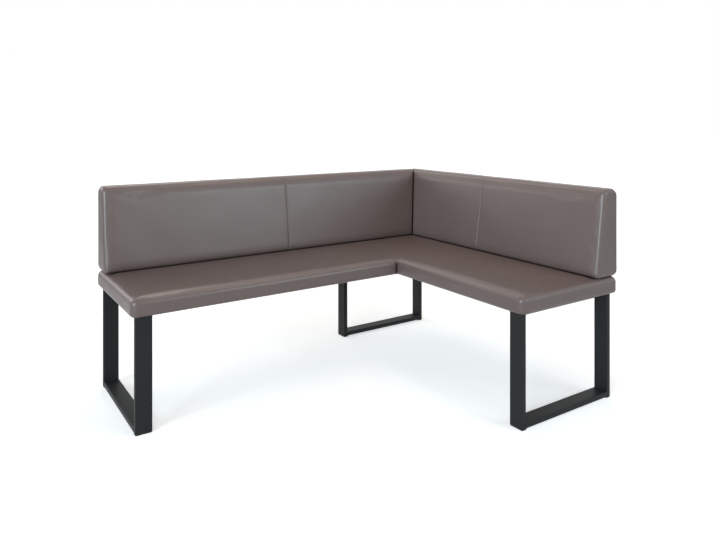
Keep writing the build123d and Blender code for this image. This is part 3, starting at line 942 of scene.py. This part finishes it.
@dataclass
class SeatPads:
    """The two seats, shaped as one L and parted at the butt joint.

    A span is where something fades in. It is measured from the plane that the using method names.
    """

    layout: Layout
    padding: Padding
    edge: float = 22.0 * MM
    lower_edge: float = 12.5 * MM
    corner: float = 26.0 * MM
    inner_corner: float = 2.0 * MM
    smaller: float = 0.6 * MM
    grid: float = 14.0 * MM
    hem: float = 35.0 * MM
    recess: float = 1.25 * MM
    fill: float = 0.9

    back_foot: float = 131.0 * MM
    foot_lines: tuple[float, ...] = (-26.0 * MM, -9.0 * MM, 0.0, 9.0 * MM)
    free_above: Span = (1.0 * MM, 14.0 * MM)
    free_ahead: Span = (2.0 * MM, 70.0 * MM)
    end_ease: Span = (20.0 * MM, 60.0 * MM)

    valley_depth: float = 8.0 * MM
    valley_rear: Span = (-36.0 * MM, -22.0 * MM)
    valley_front: Span = (0.0, 9.0 * MM)
    ridge_height: float = 4.5 * MM
    ridge_rear: Span = (-6.0 * MM, 4.0 * MM)
    ridge_front: Span = (-75.0 * MM, -8.0 * MM)
    pressed_top: Span = (-20.0 * MM, -4.0 * MM)

    # Where painted shade darkens the seat: in the fold below the backrests and, by corner_shade, in the inner
    # corner
    shade_front: Span = (-1.0 * MM, 7.0 * MM)
    shade_rear: Span = (24.0 * MM, 40.0 * MM)
    shade_top: Span = (-18.0 * MM, -10.0 * MM)
    corner_shade: float = 0.8
    corner_reach: Span = (-8.0 * MM, -1.0 * MM)
    corner_drop: Span = (6.0 * MM, 20.0 * MM)

    joint_width: float = 6.0 * MM
    joint_depth: float = 0.9 * MM
    joint_lines: tuple[float, ...] = (1.0, 0.6, 0.25)
    joint_start: float = 5.0 * MM
    joint_top: Span = (-12.0 * MM, -2.0 * MM)

    crease_width: float = 9.0 * MM
    crease_depth: float = 5.0 * MM
    crease_lines: tuple[float, ...] = (0.2, 0.45, 0.8)
    crease_above: Span = (2.0 * MM, 14.0 * MM)
    crease_drop: Span = (4.0 * MM, 20.0 * MM)
    crease_front: Span = (-9.0 * MM, -3.0 * MM)

    def blank(self) -> bpy.types.Object:
        """Block out the L with rounded edges.

        Returns:
            The blank, a little smaller than the finished seat.
        """
        at, less = self.layout, self.smaller
        left, right = at.left + less, at.right - less
        front, rear = at.front + less, at.rear - less
        inner_x, inner_y = at.inner_x + less, at.inner_y + less
        low, high = at.underside, at.seat_top
        piece = Shop.block("seat_blank", (left, inner_y, low), (right, rear, high))
        Shop.edit(piece)
        Shop.cut(X_AXIS * inner_x, X_AXIS)
        Shop.pick_faces(piece, lambda middle, way: way.y < -SQUARE and middle.x > inner_x)
        bpy.ops.mesh.extrude_region_move(TRANSFORM_OT_translate={"value": (0, front - inner_y, 0)})
        bpy.ops.mesh.select_all(action="SELECT")
        bpy.ops.mesh.dissolve_limited(angle_limit=math.radians(1))

        def upright(a: Vector, b: Vector) -> bool:
            """True for an edge from the underside to the top."""
            return abs(a.z - b.z) > (high - low) / 2

        def at_inner(a: Vector) -> bool:
            """True at the inner corner."""
            return abs(a.x - inner_x) < MM and abs(a.y - inner_y) < MM

        Shop.pick_edges(piece, lambda a, b: upright(a, b) and not at_inner(a))
        Shop.round_edges(self.corner, segments=7)
        Shop.pick_edges(piece, lambda a, b: upright(a, b) and at_inner(a))
        Shop.round_edges(self.inner_corner, segments=3)
        Shop.pick_edges(piece, lambda a, b: min(a.z, b.z) > high - MM)
        Shop.round_edges(self.edge, segments=6)
        Shop.pick_edges(piece, lambda a, b: max(a.z, b.z) < low + MM)
        Shop.round_edges(self.lower_edge, segments=4)

        bpy.ops.mesh.select_mode(type="FACE")
        for axis, first, inner, last, rear_plane in (
            (X_AXIS, left, inner_x, right, at.right), (Y_AXIS, front, inner_y, rear, at.rear),
        ):
            places = stations(first + self.corner, inner, self.grid)
            places += stations(inner + self.edge, last - self.corner, self.grid)
            Shop.cut_grid(axis, places + [rear_plane - (self.back_foot + line) for line in self.foot_lines])
        Shop.cut_grid(UP, stations(low + self.lower_edge, high - self.edge, self.grid))
        Shop.settle()
        return piece

    def ahead(self, rows: np.ndarray) -> np.ndarray:
        """How far each point lies ahead of the nearer rear plane."""
        return np.minimum(self.layout.rear - rows[:, 1], self.layout.right - rows[:, 0])

    def inside(self, rows: np.ndarray) -> np.ndarray:
        """0 at the seats' free ends, 1 away from them."""
        return ramp(np.minimum(rows[:, 0] - self.layout.left, rows[:, 1] - self.layout.front), *self.end_ease)

    def free(self, rows: np.ndarray) -> np.ndarray:
        """How free the cover is at each point: 0 on the underside and below the backrests, 1 in the open."""
        above = ramp(rows[:, 2] - self.layout.underside, *self.free_above)
        return above * ramp(self.ahead(rows) - self.back_foot, *self.free_ahead)

    def folds(self, piece: bpy.types.Object) -> np.ndarray:
        """Find where shade is painted: in the folds below the backrests' feet and in the inner corner.

        Args:
            piece: One of the seats.

        Returns:
            How much painted shade each vertex gets, from 0 to 1.
        """
        at, rows = self.layout, Shop.points(piece)
        ahead, above = self.ahead(rows), rows[:, 2] - at.seat_top
        below_back = ramp(self.back_foot - ahead, *self.shade_front) * ramp(ahead, *self.shade_rear)
        below_back *= ramp(above, *self.shade_top) * self.inside(rows)
        away = np.hypot(rows[:, 0] - at.inner_x, rows[:, 1] - at.inner_y)
        # Painted shade in the inner corner, where the two seat fronts meet
        in_corner = ramp(-away, *self.corner_reach) * ramp(-above, *self.corner_drop)
        return np.maximum(below_back, self.corner_shade * in_corner)

    def press(self, whole: bpy.types.Object) -> None:
        """Sink the seat's top below the backrests' feet, and let it bulge a little ahead of them.

        Args:
            whole: The swollen L.
        """
        rows = Shop.points(whole)
        ahead = self.ahead(rows) - self.back_foot
        valley = ramp(ahead, *self.valley_rear) * ramp(-ahead, *self.valley_front)
        ridge = ramp(ahead, *self.ridge_rear) * ramp(-ahead, *self.ridge_front)
        where = ramp(rows[:, 2] - self.layout.seat_top, *self.pressed_top) * self.inside(rows)
        rows[:, 2] += (self.ridge_height * ridge - self.valley_depth * valley) * where
        Shop.move_points(whole, rows)

    def part(self, whole: bpy.types.Object, name: str, butt: float, keep_left: bool) -> bpy.types.Object:
        """Cut one seat off a copy of the L and close it.

        Args:
            whole: The finished L.
            name: Name of the seat.
            butt: X of the seat's joint face.
            keep_left: True keeps what lies left of the joint.

        Returns:
            The seat.
        """
        at, side = self.layout, 1.0 if keep_left else -1.0
        piece = Shop.copy(whole, name)
        Shop.edit(piece)
        Shop.cut_grid(X_AXIS, [butt - side * self.joint_width * share for share in self.joint_lines])
        Shop.cut_all(X_AXIS * butt, X_AXIS * side, drop=True)
        Shop.object_mode()
        rows = Shop.points(piece)
        where = (rows[:, 1] > at.inner_y + self.joint_start) * ramp(rows[:, 2] - at.seat_top, *self.joint_top)
        self.padding.roll_in(piece, rows[:, 0] - butt, self.joint_width, self.joint_depth, where)
        self.crease(piece, butt if keep_left else at.inner_x)
        return piece

    def crease(self, piece: bpy.types.Object, x: float) -> None:
        """Turn a cover in where the two seats' fronts meet at the inner corner.

        Args:
            piece: One of the seats.
            x: Where its upright corner line lies.
        """
        at = self.layout
        Shop.edit(piece)
        Shop.cut_grid(Y_AXIS, [at.inner_y - self.crease_width * share for share in self.crease_lines])
        Shop.object_mode()
        rows = Shop.points(piece)
        behind = rows[:, 1] - at.inner_y
        away = np.hypot(rows[:, 0] - x, np.minimum(behind, 0.0))
        upright = ramp(rows[:, 2] - at.underside, *self.crease_above)
        upright *= ramp(at.seat_top - rows[:, 2], *self.crease_drop)
        where = upright * ramp(-behind, *self.crease_front)
        self.padding.roll_in(piece, away, self.crease_width, self.crease_depth, where)

    def open_underside(self, piece: bpy.types.Object, left: float, right: float, front: float) -> None:
        """Let the lining into the underside, inside a hem of the cover.

        Args:
            piece: The seat.
            left: Left side of the seat's rectangle.
            right: Right side.
            front: Front side.
        """
        low = self.layout.underside
        x0, x1 = left + self.hem, right - self.hem
        y0, y1 = front + self.hem, self.layout.rear - self.hem

        def flat(middle: Vector, way: Vector) -> bool:
            """True on the underside."""
            return way.z < -SQUARE and middle.z < low + TOUCH

        def within(middle: Vector) -> bool:
            """True inside the hem."""
            return x0 < middle.x < x1 and y0 < middle.y < y1

        planes = [(X_AXIS * x, X_AXIS) for x in (x0, x1)] + [(Y_AXIS * y, Y_AXIS) for y in (y0, y1)]
        self.padding.let_in(piece, flat, planes, within, UP * self.recess)

    def build(self) -> None:
        """Shape, swell, part and dress both seats."""
        at = self.layout
        whole = self.blank()
        self.padding.soften(whole, self.free, UP)
        self.press(whole)
        long_seat = self.part(whole, "long_seat_pad", at.long_butt, True)
        short_seat = self.part(whole, "short_seat_pad", at.short_butt, False)
        bpy.data.objects.remove(whole)
        self.open_underside(long_seat, at.left, at.long_butt, at.inner_y)
        self.open_underside(short_seat, at.inner_x, at.right, at.front)
        for piece, nodes in (
            (long_seat, ["long_seat_cover", "long_seat_foam"]),
            (short_seat, ["short_seat_cover", "short_seat_foam"]),
        ):
            self.padding.declare(piece, self.folds(piece), self.fill, nodes)


@dataclass
class BackPad:
    """One wedge-shaped backrest, mitred at the corner and sewn once across its length.

    A span is where something fades in. It is measured from the plane that the using method names.
    """

    name: str
    arm: Arm
    layout: Layout
    padding: Padding
    seam: float
    foot: float = 131.0 * MM
    head: float = 84.0 * MM
    setback: float = 4.0 * MM
    top_edge: float = 24.0 * MM
    lower_edge: float = 20.0 * MM
    end_edge: float = 18.0 * MM
    rear_squareness: float = 7.0
    squared_from: float = 4.0 * MM
    smaller: float = 0.6 * MM
    spare: float = 150.0 * MM
    grid: float = 14.0 * MM
    hem: float = 30.0 * MM
    recess: float = 1.25 * MM
    fill: float = 0.9

    free_ahead: Span = (2.0 * MM, 26.0 * MM)
    free_above: Span = (1.0 * MM, 22.0 * MM)
    end_ease: Span = (20.0 * MM, 60.0 * MM)
    # Where painted shade darkens the backrest's foot in the fold against the seat
    shade_ahead: Span = (24.0 * MM, 40.0 * MM)
    shade_above: Span = (-11.0 * MM, -3.0 * MM)

    seam_width: float = 8.0 * MM
    seam_depth: float = 2.9 * MM
    seam_lines: tuple[float, ...] = (0.06, 0.16, 0.34, 0.6, 1.0)
    seam_ahead: Span = (6.0 * MM, 24.0 * MM)
    seam_above: Span = (2.0 * MM, 16.0 * MM)
    pucker: float = 0.12
    pucker_length: float = 17.0 * MM
    pull_depth: float = 0.7 * MM
    pull_width: float = 26.0 * MM

    mitre_gap: float = 0.6 * MM
    mitre_width: float = 18.0 * MM
    mitre_depth: float = 3.0 * MM
    mitre_lines: tuple[float, ...] = (1.0, 0.6, 0.3, 0.1)
    flatter_on_top: float = 0.7
    flattest_below: float = 3.0 * MM

    def blank(self) -> bpy.types.Object:
        """Block out the wedge with rounded edges, longer than it needs to be.

        Returns:
            The blank.
        """
        arm, less = self.arm, self.smaller
        start, end = self.setback + less, arm.length + self.spare
        low, high = self.layout.seat_top, self.layout.head - less
        corners = [arm.point(start, less - self.foot, low), arm.point(end, 0, high)]
        lowest = [min(pair) for pair in zip(*corners)]
        highest = [max(pair) for pair in zip(*corners)]
        piece = Shop.block(self.name, lowest, highest)
        Shop.edit(piece)

        def lengthwise(a: Vector, b: Vector, z: float) -> bool:
            """True for a long edge at a height."""
            level = abs(a.z - z) < MM and abs(b.z - z) < MM
            return level and abs(arm.read(a)[0] - arm.read(b)[0]) > arm.length / 2

        Shop.pick_edges(piece, lambda a, b: lengthwise(a, b, high) and arm.read(a)[1] < -MM)
        bpy.ops.transform.translate(value=arm.back * (self.foot - self.head))
        Shop.pick_edges(piece, lambda a, b: lengthwise(a, b, high))
        Shop.round_edges(self.top_edge, segments=6)
        Shop.pick_edges(piece, lambda a, b: lengthwise(a, b, low))
        Shop.round_edges(self.lower_edge, segments=5)
        Shop.pick_edges(piece, lambda a, b: max(arm.read(a)[0], arm.read(b)[0]) < start + MM)
        Shop.round_edges(self.end_edge, segments=5)

        bpy.ops.mesh.select_mode(type="FACE")
        origin, rear = arm.origin.dot(arm.along), arm.origin.dot(arm.back)
        lengths = stations(start + self.end_edge, end, self.grid)
        depths = stations(-self.head + self.top_edge, -self.lower_edge, self.grid)
        Shop.cut_grid(arm.along, [origin + a for a in lengths])
        Shop.cut_grid(UP, stations(low + self.lower_edge, high - self.top_edge, self.grid))
        Shop.cut_grid(arm.back, [rear + b for b in depths])
        Shop.settle()
        self.square_rear(piece, start)
        return piece

    def square_rear(self, piece: bpy.types.Object, start: float) -> None:
        """Pull the free end's upright rear edge out to a tighter round, as where a cover folds over a board.

        Args:
            piece: The blank.
            start: Where its free end lies along the arm.
        """
        rows = Shop.points(piece)
        along, behind, height = self.arm.read_rows(rows)
        x = np.clip((start + self.end_edge - along) / self.end_edge, 0.0, 1.0)
        y = np.clip((behind + self.end_edge) / self.end_edge, 0.0, 1.0)
        power = self.rear_squareness
        round_gap, tight_gap = np.hypot(x, y), (x**power + y**power) ** (1.0 / power)
        stretch = round_gap / np.maximum(tight_gap, 1e-6) - 1.0
        upright = ramp(height - self.layout.seat_top, self.squared_from, self.lower_edge)
        upright *= ramp(self.layout.head - height, self.squared_from, self.top_edge)
        reach = stretch * upright * (x > 0) * (y > 0) * self.end_edge
        shift = np.outer(-x * reach, np.array(self.arm.along)) + np.outer(y * reach, np.array(self.arm.back))
        Shop.move_points(piece, rows + shift)

    def free(self, rows: np.ndarray) -> np.ndarray:
        """How free the cover is at each point: 0 on the rear and the underside, 1 in the open."""
        _, behind, height = self.arm.read_rows(rows)
        return ramp(-behind, *self.free_ahead) * ramp(height - self.layout.seat_top, *self.free_above)

    def folds(self, piece: bpy.types.Object) -> np.ndarray:
        """Find where shade is painted, in the fold between the backrest and the seat.

        Args:
            piece: The backrest.

        Returns:
            How deep each vertex lies in the fold, from 0 to 1.
        """
        along, behind, height = self.arm.read_rows(Shop.points(piece))
        inside = ramp(along, *self.end_ease) * ramp(-behind, *self.shade_ahead)
        return inside * ramp(self.layout.seat_top - height, *self.shade_above)

    def over_top(self, height: np.ndarray) -> np.ndarray:
        """How deep seams go at each height: fully on the front, less over the top."""
        high = self.layout.head
        return 1.0 - self.flatter_on_top * ramp(height, high - self.top_edge, high - self.flattest_below)

    def sew(self, piece: bpy.types.Object) -> None:
        """Draw the cover in along the upright seam, down the front and over the top.

        Args:
            piece: The backrest.
        """
        arm, width = self.arm, self.seam_width
        Shop.edit(piece)
        for reach in [0.0, *(side * width * share for side in (-1, 1) for share in self.seam_lines)]:
            Shop.cut_all(arm.point(self.seam + reach, 0, 0), arm.along)
        Shop.object_mode()
        along, behind, height = arm.read_rows(Shop.points(piece))
        away, above = along - self.seam, height - self.layout.seat_top
        where = self.over_top(height) * ramp(-behind, *self.seam_ahead) * ramp(above, *self.seam_above)
        puckers = 1.0 + self.pucker * np.sin(height / self.pucker_length * 2.0 * math.pi)
        self.padding.roll_in(piece, away, width, self.seam_depth, where * puckers)
        Shop.sink(piece, self.pull_depth * np.exp(-((away / self.pull_width) ** 2)) * where)

    def mitre(self, piece: bpy.types.Object) -> None:
        """Cut the corner end at 45 degrees, with its cover turned into the joint.

        Args:
            piece: The backrest.
        """
        arm = self.arm
        normal = (arm.along - arm.back).normalized()
        joint = arm.point(arm.length, 0, 0) - normal * (self.mitre_gap / 2)
        Shop.edit(piece)
        for share in self.mitre_lines:
            Shop.cut_all(joint - normal * (self.mitre_width * share), normal)
        Shop.cut_all(joint, normal, drop=True)
        Shop.object_mode()
        rows = Shop.points(piece)
        away = (rows - np.array(joint)) @ np.array(normal)
        where = self.over_top(rows[:, 2]) * self.free(rows)
        self.padding.roll_in(piece, away, self.mitre_width, self.mitre_depth, where)

    def open_rear(self, piece: bpy.types.Object) -> None:
        """Let the lining into the rear, inside a hem of the cover.

        Args:
            piece: The backrest.
        """
        arm = self.arm
        a0, a1 = self.setback + self.hem, arm.length - self.hem
        z0, z1 = self.layout.seat_top + self.hem, self.layout.head - self.hem

        def flat(middle: Vector, way: Vector) -> bool:
            """True on the rear."""
            return way.dot(arm.back) > SQUARE and arm.read(middle)[1] > -TOUCH

        def within(middle: Vector) -> bool:
            """True inside the hem."""
            along, _, height = arm.read(middle)
            return a0 < along < a1 and z0 < height < z1

        planes = [(arm.point(a, 0, 0), arm.along) for a in (a0, a1)] + [(UP * z, UP) for z in (z0, z1)]
        self.padding.let_in(piece, flat, planes, within, arm.back * -self.recess)

    def build(self, nodes: Sequence[str]) -> None:
        """Shape, swell, sew, mitre and dress the backrest.

        Args:
            nodes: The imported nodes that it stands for.
        """
        piece = self.blank()
        self.padding.soften(piece, self.free, -self.arm.back)
        self.sew(piece)
        self.mitre(piece)
        self.open_rear(piece)
        self.padding.declare(piece, self.folds(piece), self.fill, nodes)


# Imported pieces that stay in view

@dataclass
class PackedPieces:
    """Frames, fasteners, linings and timber that show as they were packed, each with its finish."""

    endings: dict[str, Finish] = field(default_factory=lambda: {
        "_leg": COATING, "_runner": COATING, "_top_strip": COATING, "_plates": COATING,
        "_glides": PLASTIC, "_screws": ZINC, "_bolts": ZINC, "_nuts": ZINC, "_lining": LINING,
        "_board": PLYWOOD, "_rear_panel": PLYWOOD, "_front_panel": HARDBOARD,
        "_batten": PINE, "_rail": PINE, "_ribs": PINE, "_mitre_end": PINE, "_dowels": PINE,
    })

    def finish_of(self, name: str) -> Finish | None:
        """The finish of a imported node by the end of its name."""
        return next((finish for ending, finish in self.endings.items() if name.endswith(ending)), None)

    def dress(self, nodes: dict[str, bpy.types.Object]) -> None:
        """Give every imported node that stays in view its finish.

        Args:
            nodes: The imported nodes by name.
        """
        for name, node in nodes.items():
            finish = self.finish_of(name)
            if finish is None:
                continue
            if not node.material_slots:
                node.data.materials.append(None)
            for place in node.material_slots:
                place.material = finish.material()
            log.info("%s: %s", name, finish.slot)


# Studio

COOL = (0.75, 0.93, 1.0)
WARM = (1.0, 0.78, 0.56)
MILD = (1.0, 0.9, 0.8)
NEUTRAL = (1.0, 1.0, 1.0)


@dataclass(frozen=True)
class Lamp:
    """A large soft lamp."""

    name: str
    place: Triple
    aim: Triple
    size: Span
    power: float
    tint: Triple

    def hang(self) -> None:
        """Add the lamp and turn it to its aim."""
        Shop.object_mode()
        bpy.ops.object.light_add(type="AREA", location=self.place)
        lamp = bpy.context.active_object
        lamp.name = lamp.data.name = self.name
        lamp.data.shape = "RECTANGLE"
        lamp.data.size, lamp.data.size_y = self.size
        lamp.data.energy = self.power
        lamp.data.color = self.tint
        lamp.rotation_euler = (Vector(self.aim) - Vector(self.place)).to_track_quat("-Z", "Y").to_euler()


@dataclass
class Studio:
    """White floor, white surroundings, soft lamps and a level camera with a shifted lens."""

    eye: Triple = (-1.4241, -2.1753, 1.1069)
    turn: float = 33.772
    lens: float = 32.068
    sensor: float = 36.0
    drop: float = -0.21116
    surround: float = 0.27
    floor_size: float = 60.0
    floor_tone: Colour = (0.92, 0.92, 0.92, 1.0)
    lift: Span = (0.5, 1.0)
    lift_reach: Span = (1.6, 4.5)
    mirror_lift: Span = (0.35, 0.0)
    mirror_reach: Span = (1.3, 2.8)
    lamps: tuple[Lamp, ...] = (
        Lamp("left_front_lamp", (-10.3, -4.9, 3.4), (0.2, 0.1, 0.5), (5.4, 4.2), 1090.0, COOL),
        Lamp("right_front_lamp", (3.2, -6.2, 2.7), (0.1, 0.1, 0.5), (3.6, 2.8), 156.0, COOL),
        Lamp("top_lamp", (1.0, -0.5, 3.3), (0.2, 0.2, 0.45), (2.2, 0.5), 14.0, WARM),
        Lamp("over_back_lamp", (0.6, 0.35, 3.3), (0.0, 0.5, 0.8), (2.4, 0.4), 7.0, MILD),
        Lamp("rear_lamp", (0.1, 2.4, 3.3), (0.3, 0.2, 0.5), (1.2, 2.0), 19.0, MILD),
        Lamp("rear_left_lamp", (-2.2, 3.0, 1.9), (0.7, 0.0, 0.7), (1.4, 1.2), 17.0, NEUTRAL),
    )

    def surroundings(self) -> None:
        """White to the camera, to reflections and through clear surfaces, an even fill where it lights."""
        world = bpy.context.scene.world or bpy.data.worlds.new("studio")
        bpy.context.scene.world = world
        world.use_nodes = True
        nodes = Nodes(world.node_tree)
        path = nodes.add("LightPath").outputs
        seen = nodes.math("MAXIMUM", path["Is Camera Ray"], path["Is Glossy Ray"])
        seen = nodes.math("MAXIMUM", seen, path["Is Transmission Ray"])
        white = nodes.add("Background", {"Color": (1.0, 1.0, 1.0, 1.0), "Strength": 1.0})
        fill = nodes.add("Background", {"Color": (1.0, 1.0, 1.0, 1.0), "Strength": self.surround})
        mix = nodes.add("MixShader", {0: seen, 1: fill.outputs[0], 2: white.outputs[0]})
        nodes.add("OutputWorld", {"Surface": mix.outputs[0]})

    @staticmethod
    def fade(nodes: Nodes, distance: bpy.types.NodeSocket, reach: Span, values: Span) -> bpy.types.NodeSocket:
        """A value that changes smoothly from one to another over a reach of distance; returns its socket."""
        inputs = {"Value": distance, 1: reach[0], 2: reach[1], 3: values[0], 4: values[1]}
        return nodes.add("MapRange", inputs, interpolation_type="SMOOTHSTEP").outputs[0]

    def floor(self) -> None:
        """A pale floor that keeps the bench's soft shadow and whitens away from it."""
        Shop.object_mode()
        bpy.ops.mesh.primitive_plane_add(size=self.floor_size, location=(0, 0, 0))
        plane = bpy.context.active_object
        plane.name = plane.data.name = "floor"
        material = bpy.data.materials.new("pale_floor")
        material.use_nodes = True
        nodes = Nodes(material.node_tree)
        matt = nodes.add("BsdfDiffuse", {"Color": self.floor_tone})
        place = nodes.add("TexCoord").outputs["Object"]
        distance = nodes.add("VectorMath", {0: place}, operation="LENGTH").outputs["Value"]
        path = nodes.add("LightPath").outputs
        direct = nodes.math("MAXIMUM", path["Is Camera Ray"], path["Is Transmission Ray"])
        lift = self.fade(nodes, distance, self.lift_reach, self.lift)
        mirrored = self.fade(nodes, distance, self.mirror_reach, self.mirror_lift)
        mirrored = nodes.math("MULTIPLY", path["Is Glossy Ray"], mirrored)
        glow = nodes.add("Emission", {"Strength": nodes.math("MULTIPLY_ADD", direct, lift, mirrored)})
        both = nodes.add("AddShader", {0: matt.outputs[0], 1: glow.outputs[0]})
        nodes.add("OutputMaterial", {"Surface": both.outputs[0]})
        plane.data.materials.append(material)

    def camera(self) -> None:
        """A level camera; the lens is shifted down so that uprights stay upright."""
        Shop.object_mode()
        bpy.ops.object.camera_add(location=self.eye, rotation=(math.radians(90), 0, math.radians(-self.turn)))
        camera = bpy.context.active_object
        camera.name = camera.data.name = "photo_camera"
        camera.data.lens = self.lens
        camera.data.sensor_width = self.sensor
        camera.data.shift_y = self.drop
        bpy.context.scene.camera = camera

    def build(self) -> None:
        """Set up everything around the bench."""
        self.surroundings()
        self.floor()
        for lamp in self.lamps:
            lamp.hang()
        self.camera()
        bpy.context.scene.view_settings.view_transform = "Standard"


def main() -> None:
    """Build the bench's pads, dress what was packed and set up the studio."""
    logging.basicConfig(level=logging.INFO, format="%(name)s %(message)s")
    layout = Layout.read(inner_corner=3.0 * MM)
    padding = Padding()
    SeatPads(layout, padding).build()
    BackPad("long_back_pad", layout.long_arm(), layout, padding, seam=835.0 * MM).build(
        ["long_back_cover", "long_back_foam"]
    )
    BackPad("short_back_pad", layout.short_arm(), layout, padding, seam=665.0 * MM).build(
        ["short_back_cover", "short_back_foam"]
    )
    PackedPieces().dress(frame["nodes"])
    Studio().build()


if __name__ == "__main__":
    main()
